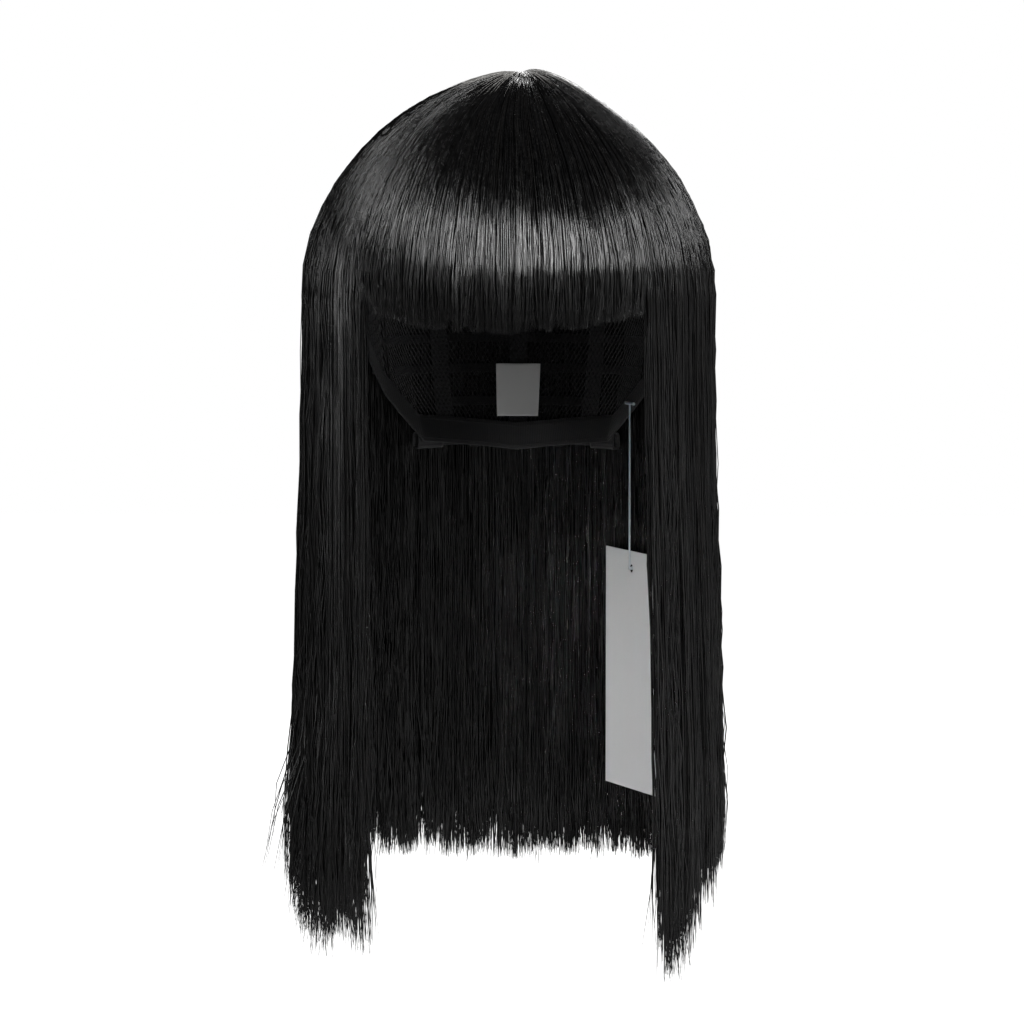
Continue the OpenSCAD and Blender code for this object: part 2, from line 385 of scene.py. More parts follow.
@dataclass(frozen=True)
class KnottedSkin:
    """Grey-beige monofilament with a dark knot at every few threads."""

    name: str = "knotted skin"

    def material(self) -> bpy.types.Material:
        """The finish as a material."""
        n = Nodes(self.name)
        where = n.coords()
        knots = n.node("ShaderNodeTexVoronoi", {"Vector": where, "Scale": 700.0}, out="Distance")
        dots = n.ramp(knots, 0.45, 0.15)
        base = n.mix(n.noise(where, 90), (0.30, 0.27, 0.24), (0.42, 0.38, 0.34))
        n.feed("Base Color", n.mix(dots, base, (0.02, 0.02, 0.02)))
        n.feed("Roughness", 0.55)
        n.bump(dots, 0.15 * MM)
        return n.material


@dataclass(frozen=True)
class Clear:
    """Clear moulded nylon."""

    name: str = "clear nylon"

    def material(self) -> bpy.types.Material:
        """The finish as a material."""
        n = Nodes(self.name)
        n.feed("Base Color", (0.80, 0.82, 0.84))
        n.feed("Roughness", 0.22)
        n.feed("IOR", 1.5)
        n.feed("Subsurface Weight", 0.3)
        return n.material


@dataclass
class Finishes:
    """The wig's finishes, each made once."""

    fibres: list[bpy.types.Material] = field(default_factory=list)
    made: dict[str, bpy.types.Material] = field(default_factory=dict)

    def __post_init__(self) -> None:
        """Makes every material."""
        for fibre in (
            Fibre("jet fibre", (0.0008, 0.0008, 0.0009), (0.0016, 0.0016, 0.0017), 0.21),
            Fibre("black fibre", (0.0011, 0.001, 0.001), (0.0026, 0.0025, 0.0024), 0.26),
            Fibre("soft black fibre", (0.0015, 0.0014, 0.0014), (0.0042, 0.004, 0.0039), 0.165),
            # The root tone is pale grey: a painted highlight for the glint of light on the rising roots at the
            # whorl.
            Fibre("root fibre", (0.05, 0.049, 0.047), (0.16, 0.157, 0.15), 0.3),
        ):
            self.fibres.append(fibre.material())
        black, soft = (0.006, 0.006, 0.0065), (0.022, 0.022, 0.024)
        for finish in (
            Grained("net nylon", black, soft, 0.5, 0.4 * MM, 0.03 * MM),
            Cloth(
                "satin binding", (0.008, 0.008, 0.009), (0.03, 0.03, 0.032), Weave.SATIN, 0.5 * MM, 0.42, 0.2
            ),
            Cloth(
                "rib elastic", (0.005, 0.005, 0.006), (0.035, 0.035, 0.037), Weave.RIBBED, 1.1 * MM, 0.62, 0.3
            ),
            Cloth("weft tape", (0.005, 0.005, 0.005), (0.02, 0.02, 0.021), Weave.PLAIN, 0.6 * MM, 0.55),
            Cloth(
                "strap elastic", (0.006, 0.006, 0.007), (0.03, 0.03, 0.032), Weave.RIBBED, 0.8 * MM, 0.62, 0.3
            ),
            Grained("felt", (0.008, 0.008, 0.009), (0.035, 0.035, 0.037), 0.9, 0.35 * MM, 0.2 * MM, sheen=0.6),
            Grained(
                "brushed stay", (0.42, 0.42, 0.43), (0.62, 0.62, 0.63), 0.34, 0.15 * MM, 0.01 * MM,
                (1, 1, 0.05), metallic=1.0,
            ),
            Grained("moulded hook", (0.006, 0.006, 0.006), (0.016, 0.016, 0.016), 0.42, 0.3 * MM, 0.015 * MM),
            Grained("thread", (0.01, 0.01, 0.011), (0.045, 0.045, 0.047), 0.5, 0.2 * MM, 0.03 * MM, sheen=0.2),
            Cloth("label satin", (0.74, 0.74, 0.73), (0.88, 0.88, 0.87), Weave.SATIN, 0.35 * MM, 0.45, 0.15),
            Grained("white card", (0.84, 0.845, 0.855), (0.9, 0.905, 0.915), 0.62, 0.25 * MM, 0.02 * MM),
            KnottedSkin(),
            Clear(),
        ):
            self.made[finish.name] = finish.material()

    def __getitem__(self, name: str) -> bpy.types.Material:
        """The finish of that name."""
        return self.made[name]


# ---------------------------------------------------------------- mesh helpers


def shown(name: str, mesh: bpy.types.Mesh, body: str | None, slot: str, *nodes: str) -> bpy.types.Object:
    """Puts a finished mesh in the scene as a piece.

    Args:
        name: the piece's name.
        mesh: its mesh, already in place.
        body: the CAD body it rides on, or None where bake_transform() follows.
        slot: the record's material slot; not used.
        *nodes: the CAD nodes it stands for.

    Returns:
        The piece.
    """
    piece = bpy.data.objects.new(name, mesh)
    bpy.context.scene.collection.objects.link(piece)
    if body:
        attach(piece, body)
    if nodes:
        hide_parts(*nodes)
    log.info("%s: %d faces", name, len(mesh.polygons))
    return piece


def mesh_of(bm: bmesh.types.BMesh, name: str, material: bpy.types.Material) -> bpy.types.Mesh:
    """Turns a bmesh into a smooth mesh of that name and finish, and frees the bmesh."""
    for face in bm.faces:
        face.smooth = True
    mesh = bpy.data.meshes.new(name)
    bm.to_mesh(mesh)
    bm.free()
    mesh.materials.append(material)
    return mesh


def dome(
    around: int, down: int, lowest: float
) -> tuple[bmesh.types.BMesh, list[bmesh.types.BMVert], np.ndarray, np.ndarray]:
    """The top of a unit sphere, ready to be laid on a head.

    Args:
        around: faces round it.
        down: faces from pole to pole of the whole sphere.
        lowest: the tilt from the crown, in degrees, past which it is cut away.

    Returns:
        The bmesh, its vertices, and their turns and tilts in degrees.
    """
    bm = bmesh.new()
    bmesh.ops.create_uvsphere(bm, u_segments=around, v_segments=down, radius=1)
    tilt = {v: math.degrees(math.acos(max(-1, min(1, v.co.z)))) for v in bm.verts}
    bmesh.ops.delete(bm, geom=[v for v in bm.verts if tilt[v] > lowest], context="VERTS")
    verts = list(bm.verts)
    co = np.array([v.co for v in verts])
    turn = np.degrees(np.arctan2(co[:, 0], -co[:, 1]))
    return bm, verts, turn, np.degrees(np.arccos(np.clip(co[:, 2], -1, 1)))


def grid_mesh(
    name: str, across: int, down: int, where: Callable[[np.ndarray, np.ndarray], np.ndarray],
    size: tuple[float, float], material: bpy.types.Material, thickness: float = 0.0,
) -> bpy.types.Mesh:
    """A sheet bent onto a surface, from a grid.

    Args:
        name: the mesh's name.
        across: faces across.
        down: faces down.
        where: gives the points for shares u across and v down, both from 0 to 1.
        size: real width and height, which its UV map is in.
        material: its finish.
        thickness: thickens it outwards by this, if above 0.

    Returns:
        The mesh.
    """
    bm = bmesh.new()
    bm.loops.layers.uv.new("cloth")
    bmesh.ops.create_grid(bm, x_segments=across, y_segments=down, size=0.5, calc_uvs=True)
    uv = bm.loops.layers.uv.active
    for face in bm.faces:
        for loop in face.loops:
            loop[uv].uv = (loop[uv].uv[0] * size[0], loop[uv].uv[1] * size[1])
    co = np.array([v.co for v in bm.verts])
    for vert, point in zip(bm.verts, where(co[:, 0] + 0.5, 0.5 - co[:, 1]), strict=True):
        vert.co = point
    bmesh.ops.remove_doubles(bm, verts=bm.verts[:], dist=1e-6)
    if thickness:
        bmesh.ops.solidify(bm, geom=bm.faces[:], thickness=-thickness)
    return mesh_of(bm, name, material)


def cut_from(
    piece: bpy.types.Object, where: Callable[[np.ndarray, np.ndarray], np.ndarray], held: str, *rests: str,
    level: bool = False,
) -> None:
    """Samples a sheet's surface on a grid of 49 by 49 points, which nothing further uses.

    Args:
        piece: the sheet; not used.
        where: its surface, as grid_mesh takes it.
        held: how it is held; not used.
        *rests: what it rests on or is sewn to; not used.
        level: the width measured level, for a panel whose lower edge slopes; not used.
    """
    share = np.linspace(0, 1, 49)
    u, v = (x.ravel() for x in np.meshgrid(share, share))
    points = where(u, v).reshape(49, 49, 3)


def rounded(piece: bpy.types.Object, width: float, levels: int = 1) -> bpy.types.Object:
    """Rounds a piece's edges with a live Bevel, and returns the piece."""
    bevel = piece.modifiers.new("edge", "BEVEL")
    bevel.width, bevel.segments, bevel.limit_method, bevel.angle_limit = width, levels, "ANGLE", 0.6
    return piece


@dataclass
class Strands:
    """Fibres or threads: curves that become one mesh of thin tapered tubes."""

    name: str
    sides: int = 3
    paths: list[tuple[np.ndarray, np.ndarray, np.ndarray]] = field(default_factory=list)

    def add(self, points: np.ndarray, radii: np.ndarray, tones: np.ndarray) -> None:
        """Adds fibres.

        Args:
            points: places, shaped (fibres, points, 3).
            radii: thickness at each point, shaped (fibres, points).
            tones: which material each fibre takes.
        """
        self.paths.append((points, radii, tones))

    def _profile(self) -> bpy.types.Object:
        """A small regular polygon that the tubes take their section from."""
        curve = bpy.data.curves.new("section", "CURVE")
        curve.dimensions = "2D"
        line = curve.splines.new("POLY")
        line.points.add(self.sides - 1)
        for k in range(self.sides):
            a = 2 * math.pi * k / self.sides
            line.points[k].co = (math.cos(a), math.sin(a), 0, 1)
        line.use_cyclic_u = True
        profile = bpy.data.objects.new("section", curve)
        bpy.context.scene.collection.objects.link(profile)
        return profile

    def mesh(self, materials: Iterable[bpy.types.Material]) -> bpy.types.Mesh:
        """Sweeps every fibre and returns them as one mesh with those materials."""
        profile = self._profile()
        curve = bpy.data.curves.new(self.name, "CURVE")
        curve.dimensions = "3D"
        curve.bevel_mode, curve.bevel_object, curve.use_fill_caps = "OBJECT", profile, True
        for material in materials:
            curve.materials.append(material)
        for points, radii, tones in self.paths:
            count = points.shape[1]
            co = np.ones((*points.shape[:2], 4), np.float32)
            co[..., :3] = points
            thick = np.ascontiguousarray(np.broadcast_to(radii, points.shape[:2]), np.float32)
            for k in range(len(points)):
                line = curve.splines.new("POLY")
                line.points.add(count - 1)
                line.points.foreach_set("co", co[k].ravel())
                line.points.foreach_set("radius", thick[k])
                line.material_index = int(tones[k])
                line.use_smooth = True
        source = bpy.data.objects.new(self.name, curve)
        bpy.context.scene.collection.objects.link(source)
        bpy.context.view_layer.update()
        graph = bpy.context.evaluated_depsgraph_get()
        mesh = bpy.data.meshes.new_from_object(source.evaluated_get(graph), depsgraph=graph)
        mesh.name = self.name
        for made in (source, profile):
            data = made.data
            bpy.data.objects.remove(made)
            bpy.data.curves.remove(data)
        return mesh


# ---------------------------------------------------------------- the hair


@dataclass
class Layer:
    """One lot of fibres that share a root line and a place in the hair's thickness."""

    count: int
    turns: tuple[float, float]
    tips: Table
    depth: tuple[float, float] = (0.0, 0.5)
    start: tuple[float, float] = (1.0, 30.0)
    dome_points: int = 10
    hang_points: int = 10
    clump: float = 0.0065
    gather: float = 0.45
    ragged: float = 0.006
    stagger: float = 0.008
    sway: float = 0.0012
    wander: float = 0.0003
    stray: float = 0.015
    radius: float = 0.0003
    tuck: float = 0.0
    spread: float = 0.0
    ripple: float = 0.085
    hem: tuple[float, float] = (0.0, 0.0)
    grooves: tuple[float, ...] = ()
    flick: float = 0.72
    splits: tuple[float, ...] = ()

    def paths(self, rng: np.random.Generator) -> tuple[np.ndarray, np.ndarray, np.ndarray]:
        """Lays the fibres.

        Args:
            rng: the seeded source of their differences.

        Returns:
            Points, radii and tones, as Strands.add takes them.
        """
        n, (first, last) = self.count, self.turns
        turn = first + (last - first) * (np.arange(n) + rng.random(n)) / n
        to_degrees = 180 / math.pi / 0.1
        pitch = self.clump * to_degrees
        edges = np.cumsum(rng.uniform(0.5, 1.5, int((last - first) / pitch) + 3)) * pitch + first - pitch
        index = np.searchsorted(edges, turn)
        middles = np.concatenate([[first], (edges[1:] + edges[:-1]) / 2, [last]])
        middle = middles[np.minimum(index, len(middles) - 1)]
        per = rng.normal(size=(6, len(edges) + 1))[:, index]
        tip = looked_up(turn, self.tips) + np.abs(per[0]) * self.stagger
        tip = tip + rng.exponential(size=n) * self.ragged
        tip = tip + (np.abs(turn - middle) / pitch) ** 2 * self.ragged * 2
        start = rng.uniform(0, 1, n) ** 0.85 * (self.start[1] - self.start[0]) + self.start[0]
        dome = np.linspace(0, 1, self.dome_points, endpoint=False)
        hang = np.linspace(0, 1, self.hang_points + 1)
        top = np.minimum(start, 90)[:, None]
        falls = 90 + hang * (-tip[:, None] / MM)
        station = np.concatenate([top + (90 - top) * dome, falls], 1) if self.dome_points else falls
        if not self.dome_points:
            station = start[:, None] + (falls[:, -1:] - start[:, None]) * hang
        arc = np.where(station < 90, station * 1.9, 171 + station - 90)
        run = (arc - arc[:, :1]) / (arc[:, -1:] - arc[:, :1])
        side = (turn - middle)[:, None]
        pull = eased((run - 0.5) / 0.5) * self.gather + eased((run - 0.9) / 0.1) * 0.3
        lean = side * (1 - pull)
        phase = per[1][:, None] * 3
        lean = lean + per[2][:, None] * self.sway * to_degrees * np.sin(run * 5 + phase) * run
        loose = rng.normal(size=n) * self.wander * to_degrees * 3
        lean = lean + loose[:, None] * run**1.5
        lean = lean + rng.normal(size=station.shape) * self.wander * to_degrees * eased(run * 4)
        free = rng.random(n) < self.stray
        drift = rng.normal(size=n) * free * 0.009 * to_degrees
        lean = lean + drift[:, None] * run**2
        edge, shift = self.hem
        lean = lean + (np.exp(-np.abs(turn - edge) / 16) * shift)[:, None] * run**1.5
        frayed = rng.normal(size=n) * 0.0022 * to_degrees
        lean = lean + frayed[:, None] * eased((run - 0.84) / 0.16) * (self.ragged / 0.006)
        place = middle[:, None] + lean
        for split in self.splits:
            from_split = (place - split) / (0.005 * to_degrees)
            opened = eased((run - 0.86) / 0.14) * 0.0019 * to_degrees
            place = place + np.tanh(from_split * 4) * np.exp(-(from_split**2)) * opened
        swirl = 16 * np.exp(-station / 9)
        deep = rng.uniform(*self.depth, n)
        rooted = np.minimum(deep + 0.5, 1.1)
        depth = deep[:, None] + (rooted - deep)[:, None] * np.exp(-(station - start[:, None]) / 4)
        depth = depth + per[3][:, None] * 0.05 * eased(run * 3)
        length = (rng.uniform(34, 80, len(edges) + 1)[index] + rng.normal(size=n) * 2)[:, None]
        strength = np.abs(per[5])[:, None] * self.ripple * eased(arc / 120 - 0.45)
        depth = depth + np.sin(arc * 2 * math.pi / length + per[4][:, None] * 4) * strength
        depth = depth + (side / pitch) ** 2 * 0.15 * eased(run * 2)
        depth = depth + rng.normal(size=station.shape) * 0.028 * eased(run * 5)
        depth = depth + 0.4 * np.exp(-((station / 3.5) ** 2))
        depth = depth + self.tuck * eased((run - 0.8) / 0.2) - np.abs(drift[:, None]) * 0.012 * run
        flick = eased((run - self.flick) / (1 - self.flick))
        depth = depth - self.spread * flick * rng.uniform(0, 1, n)[:, None]
        for groove in self.grooves:
            depth = depth + 0.3 * np.exp(-(((place - groove) / 1.7) ** 2)) * eased((station - 40) / 25)
        points = HAIR.place(place + swirl, station, depth)
        thick = self.radius * rng.uniform(0.65, 1.25, n)[:, None] * np.where(free, 0.55, 1)[:, None]
        taper = np.minimum(1, (1 - run) * 7 + 0.22) * np.minimum(1, run * 12 + 0.45)
        tone = rng.choice(3, n, p=(0.5, 0.3, 0.2))
        return points, thick * taper, tone


RIGHT_TIPS: Table = (
    (45, -0.294), (52, -0.300), (57, -0.290), (62, -0.280), (70, -0.266), (80, -0.260),
    (95, -0.262), (128, -0.266), (163, -0.272), (180, -0.274),
)
LEFT_TIPS: Table = (
    (180, -0.274), (197, -0.272), (232, -0.266), (262, -0.262), (275, -0.268), (285, -0.279),
    (295, -0.288), (305, -0.292), (315, -0.287), (320, -0.272),
)
FRINGE_TIPS: Table = ((-45, 0.0), (-37, -0.006), (-24, -0.0105), (0, -0.0125), (24, -0.0105), (45, -0.006))


@dataclass
class HangingSection:
    """A section of hair that hangs from the cap in place of one of the frame's bodies, whose CAD node it hides.
    """

    body: str
    turns: tuple[float, float]
    tips: Table
    outer: int = 980
    inner: int = 380
    seed: int = 1
    spread: float = 0.1
    hem: tuple[float, float] = (0.0, 0.0)
    inset: tuple[float, float] = (0.0, 0.0)
    ragged: float = 0.006
    stagger: float = 0.005
    grooves: tuple[float, ...] = ()
    wisps: int = 0

    def build(self, finishes: Finishes) -> None:
        """Makes the section's fibres, from the whorl and from the wefts above the ear."""
        rng = np.random.default_rng(self.seed)
        strands = Strands(f"{self.body}_hair")
        span = (self.turns[0] - 0.6, self.turns[1] + 0.6)
        outer = Layer(
            self.outer, span, self.tips, (0.02, 0.55), spread=self.spread, hem=self.hem,
            ragged=self.ragged, stagger=self.stagger, grooves=self.grooves,
        )
        strands.add(*outer.paths(rng))
        inner = Layer(
            self.inner, (span[0] + self.inset[0], span[1] - self.inset[1]), self.tips, (0.55, 0.97), (46, 84),
            dome_points=3, hang_points=9, radius=0.00042, stray=0.03, sway=0.002, hem=self.hem,
            ragged=self.ragged, stagger=self.stagger,
        )
        strands.add(*inner.paths(rng))
        if self.wisps:
            wisp = Layer(
                self.wisps, (284, 296), ((284, -0.254), (296, -0.262)), (0.0, 0.1), (20, 40), clump=0.003,
                spread=1.5, stray=0.1, radius=0.0003, ragged=0.006, stagger=0.003, flick=0.82,
            )
            strands.add(*wisp.paths(rng))
        piece = shown(strands.name, strands.mesh(finishes.fibres), None, "hair", self.body)
        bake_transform(piece)


@dataclass
class NapeHair:
    """The hair sewn to the low wefts at the back. It leaves the cap lower down, so it bends lower."""

    body: str
    turns: tuple[float, float]
    tips: Table
    count: int = 320
    seed: int = 30

    def build(self, finishes: Finishes) -> None:
        """Makes the fibres from each low weft."""
        rng = np.random.default_rng(self.seed)
        strands = Strands(f"{self.body}_nape_hair")
        for row, low in enumerate((4, 19, 34, 48)):
            layer = Layer(
                self.count // 4, self.turns, self.tips, (0.97 - row * 0.02, 1.06), (90 + low, 90 + low + 3),
                dome_points=0, hang_points=10, radius=0.00042, stray=0.04, sway=0.0025, stagger=0.01,
            )
            strands.add(*layer.paths(rng))
        piece = shown(strands.name, strands.mesh(finishes.fibres), None, "hair")
        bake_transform(piece)


@dataclass
class Fringe:
    """The blunt fringe, which splits into points at its edge."""

    count: int = 2300
    splits: tuple[float, ...] = (-20.5, -6.5, 9.0, 17.0)
    seed: int = 7

    def build(self, finishes: Finishes) -> None:
        """Makes the fringe's fibres."""
        rng = np.random.default_rng(self.seed)
        strands = Strands("fringe_hair")
        front = Layer(
            self.count, (-44.8, 44.8), FRINGE_TIPS, (0.0, 0.75), (1, 30), dome_points=11, hang_points=2,
            clump=0.004, gather=0.35, ragged=0.0013, stagger=0.0013, sway=0.0008, tuck=0.22, stray=0.02,
            splits=self.splits, radius=0.00031, ripple=0.075, grooves=(-44.5, 44.5),
        )
        strands.add(*front.paths(rng))
        piece = shown(strands.name, strands.mesh(finishes.fibres), None, "hair", "fringe")
        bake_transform(piece)


@dataclass
class Whorl:
    """Roots that fan out from the whorl, coloured pale grey as a painted highlight for the glint of light on
    the roots where they rise.
    """

    count: int = 110
    seed: int = 5

    def build(self, finishes: Finishes) -> None:
        """Makes the roots, most of them at the front."""
        rng = np.random.default_rng(self.seed)
        turn = rng.normal(size=self.count) * 48
        run = np.linspace(0, 1, 8)
        station = 0.8 + run * rng.uniform(7, 27, self.count)[:, None]
        depth = 0.75 * np.exp(-station / 2.5) + rng.uniform(-0.03, 0.02, self.count)[:, None]
        points = HAIR.place(turn[:, None] + 16 * np.exp(-station / 9), station, depth)
        strands = Strands("whorl_roots")
        radii = np.broadcast_to(0.00026 * (1 - run) ** 0.7 + 0.00003, station.shape)
        # Tone 3 colours every root pale grey, a painted highlight.
        strands.add(points, radii, np.full(self.count, 3))
        shown(strands.name, strands.mesh(finishes.fibres), "cap", "hair")


@dataclass
class CrownHair:
    """Short under-hair matted on the cap, which closes the crown under the long fibres."""

    depth: float = 0.72
    lowest: float = 84.0
    seed: int = 3

    def build(self, finishes: Finishes) -> None:
        """Makes the matted shell."""
        bm, verts, turn, station = dome(120, 72, self.lowest)
        rng = np.random.default_rng(self.seed)
        depth = self.depth + rng.normal(size=len(verts)) * 0.03 + 0.25 * np.exp(-((station / 8) ** 2))
        for vert, point in zip(verts, HAIR.place(turn, station, depth), strict=True):
            vert.co = point
        bmesh.ops.solidify(bm, geom=bm.faces[:], thickness=0.0006)
        bmesh.ops.recalc_face_normals(bm, faces=bm.faces[:])
        mesh = mesh_of(bm, "crown_under_hair", finishes.fibres[0])
        nodes = ("crown_hair", "right_temple_hair", "left_temple_hair", "occiput_hair")
        shown("crown_under_hair", mesh, "cap", "hair", *nodes)


# ---------------------------------------------------------------- the cap

CAP_EDGE: Table = (
    (0, 46), (35, 44), (60, 14), (72, -4), (84, -6), (95, 4), (110, -8), (125, -48), (140, -70), (180, -75),
)
BAND_H = 12 * MM
TUCK = 2 * MM  # how far nets and ribs go in behind the band


def edge_z(turn: np.ndarray) -> np.ndarray:
    """Height of the cap's lower edge at a turn."""
    turn = np.asarray(turn, float)
    wrapped = np.abs((turn + 180) % 360 - 180)
    return looked_up(wrapped, CAP_EDGE) * MM


def zigzag(count: int, high: float, low: float) -> np.ndarray:
    """High and low in turn, `count` values of them."""
    return np.where(np.arange(count) % 2 == 0, high, low)


def thread(points: np.ndarray, radius: float = 0.00016) -> tuple[np.ndarray, np.ndarray, np.ndarray]:
    """One thread along points, as Strands.add takes it."""
    return points[None], np.full((1, len(points)), radius), np.zeros(1, int)


@dataclass
class Band:
    """A satin binding band along the cap's edge, stitched along both sides."""

    node: str
    turns: tuple[float, float]
    net: str

    def _point(self, turn: np.ndarray, up: np.ndarray, off: float) -> np.ndarray:
        """A point on the band `up` above its edge."""
        return HEAD.at_height(turn, edge_z(turn) + up, off)

    def build(self, finishes: Finishes, threads: Strands) -> None:
        """Makes the band, and its stitches among the cap's threads."""
        (a, b), length = self.turns, math.radians(self.turns[1] - self.turns[0]) * 0.09

        def where(u: np.ndarray, v: np.ndarray) -> np.ndarray:
            """The band's inner face."""
            return self._point(a + (b - a) * u, BAND_H * (1 - v), 0.05 * MM)

        mesh = grid_mesh(
            f"{self.node}_binding", max(16, int((b - a) * 0.9)), 6, where, (length, BAND_H),
            finishes["satin binding"], 0.8 * MM,
        )
        piece = shown(mesh.name, mesh, "cap", "binding", self.node)
        rounded(piece, 0.3 * MM, 2)
        cut_from(piece, where, "laid", self.net)
        count = int(length / (1.3 * MM))
        turn = np.linspace(a + 0.5, b - 0.5, count)
        for up in (1.6 * MM, BAND_H - 1.8 * MM):
            for off in (-0.02 * MM, 1.0 * MM):
                dip = zigzag(count, 0.12, -0.1) * MM
                threads.add(*thread(self._point(turn, np.full(count, up), off) + dip[:, None] * 0.6))


@dataclass
class Net:
    """A stretch lace net panel: a real mesh of crossing threads."""

    node: str
    turns: tuple[float, float]
    cells: tuple[int, int]
    top: float = 18.0

    def build(self, finishes: Finishes) -> None:
        a, b = self.turns

        def where(u: np.ndarray, v: np.ndarray) -> np.ndarray:
            """The net's middle."""
            turn = a + (b - a) * u
            bottom = HEAD.tilt_at(edge_z(turn) + BAND_H - TUCK)
            return HEAD.on_head(turn, self.top + (bottom - self.top) * v, 1.3 * MM)

        mesh = grid_mesh(f"{self.node}_lace", *self.cells, where, (0.1, 0.1), finishes["net nylon"])
        bm = bmesh.new()
        bm.from_mesh(mesh)
        old = bm.edges[:]
        bmesh.ops.poke(bm, faces=bm.faces[:])
        straight = [e for e in old if e.is_valid and len(e.link_faces) == 2]
        bmesh.ops.dissolve_edges(bm, edges=straight, use_verts=False)
        bmesh.ops.wireframe(
            bm, faces=bm.faces[:], thickness=0.5 * MM, use_replace=True, use_boundary=True, use_even_offset=True
        )
        for face in bm.faces:
            face.smooth = False
        bm.to_mesh(mesh)
        bm.free()
        piece = shown(mesh.name, mesh, "cap", "net", self.node)
        cut_from(piece, where, "stretched", "crown_skin_patch", level=True)


@dataclass
class Rib:
    """An elastic rib from the skin patch down to a band."""

    node: str
    turn: float
    width: float = 8 * MM

    def build(self, finishes: Finishes, threads: Strands) -> None:
        """Makes the rib, and its zigzag stitches among the cap's threads."""
        bottom = float(HEAD.tilt_at(edge_z(self.turn) + BAND_H - TUCK))
        half = math.degrees(math.atan(self.width / 2 / HEAD.half_w))

        def where(u: np.ndarray, v: np.ndarray, off: float = 1.95 * MM) -> np.ndarray:
            """The rib's under face."""
            tilt = 22 + (bottom - 22) * v
            wide = half / np.maximum(np.sin(np.radians(tilt)), 0.34)
            return HEAD.on_head(self.turn + (u * 2 - 1) * wide, tilt, off)

        mesh = grid_mesh(
            f"{self.node}_elastic", 6, 60, where, (self.width, 0.13), finishes["rib elastic"], 0.5 * MM
        )
        piece = shown(mesh.name, mesh, "cap", "elastic", self.node)
        rounded(piece, 0.15 * MM)
        v = np.linspace(0.01, 0.99, 110)
        for edge in (0.12, 0.88):
            zig = zigzag(110, 0.09, -0.09)
            threads.add(*thread(where(edge + zig, v, 2.52 * MM)))


@dataclass
class Weft:
    """A weft's track: a stitched tape, under the folded ends of the hair, which are not drawn."""

    node: str
    turns: tuple[float, float]
    height: float

    def build(self, finishes: Finishes, threads: Strands) -> None:
        """Makes the tape, and its three rows of lock stitch among the cap's threads."""
        (a, b), wide = self.turns, 4 * MM
        length = math.radians(b - a) * 0.088
        rng = np.random.default_rng(int(abs(self.height) * 1e5) + 5)

        def where(u: np.ndarray, v: np.ndarray) -> np.ndarray:
            """The tape's under face, a little uneven."""
            uneven = np.sin(u * length / 0.0011) * 0.08 * MM
            flat = HEAD.at_height(a + (b - a) * u, self.height + wide * (0.5 - v), 3.1 * MM)
            return flat + uneven[:, None] * 0.5

        count = max(24, int(length / (2.2 * MM)))
        mesh = grid_mesh(f"{self.node}_tape", count, 3, where, (length, wide), finishes["weft tape"], 0.7 * MM)
        piece = shown(mesh.name, mesh, "cap", "weft", self.node)
        rounded(piece, 0.2 * MM)
        points = int(length / (1.5 * MM))
        turn = np.linspace(a + 0.4, b - 0.4, points)
        for row in (-1.2, 0.0, 1.2):
            zig = zigzag(points, 0.35, -0.35) + rng.normal(size=points) * 0.05
            for off in (2.98, 3.9):
                threads.add(*thread(HEAD.at_height(turn, self.height + (row + zig) * MM, off * MM), 0.00013))


@dataclass
class SkinPatch:
    """The patch of knotted monofilament at the crown, and the weft ring round it."""

    edge: float = 21.5

    def build(self, finishes: Finishes, threads: Strands) -> None:
        """Makes the patch and the ring."""
        bm, verts, turn, tilt = dome(64, 90, self.edge)
        for vert, point in zip(verts, HEAD.on_head(turn, tilt, 1.95 * MM), strict=True):
            vert.co = point
        bmesh.ops.solidify(bm, geom=bm.faces[:], thickness=-0.5 * MM)
        bmesh.ops.recalc_face_normals(bm, faces=bm.faces[:])
        mesh = mesh_of(bm, "crown_skin", finishes["knotted skin"])
        shown("crown_skin", mesh, "cap", "skin_patch", "crown_skin_patch")
        self._ring(finishes, threads)

    def _ring(self, finishes: Finishes, threads: Strands) -> None:
        """Makes the weft tape that goes round the patch, and its stitches."""

        def where(u: np.ndarray, v: np.ndarray, off: float = 3.1 * MM) -> np.ndarray:
            """The tape's under face."""
            return HEAD.on_head(360 * u, 24 + 3 * v, off)

        mesh = grid_mesh("crown_weft_ring_tape", 120, 3, where, (0.24, 4 * MM), finishes["weft tape"], 0.7 * MM)
        rounded(shown(mesh.name, mesh, "cap", "weft", "crown_weft_ring"), 0.2 * MM)
        u = np.linspace(0, 1, 160)
        for row in (0.25, 0.75):
            zig = zigzag(160, 0.09, -0.09)
            threads.add(*thread(where(u, row + zig, 3.9 * MM), 0.00013))


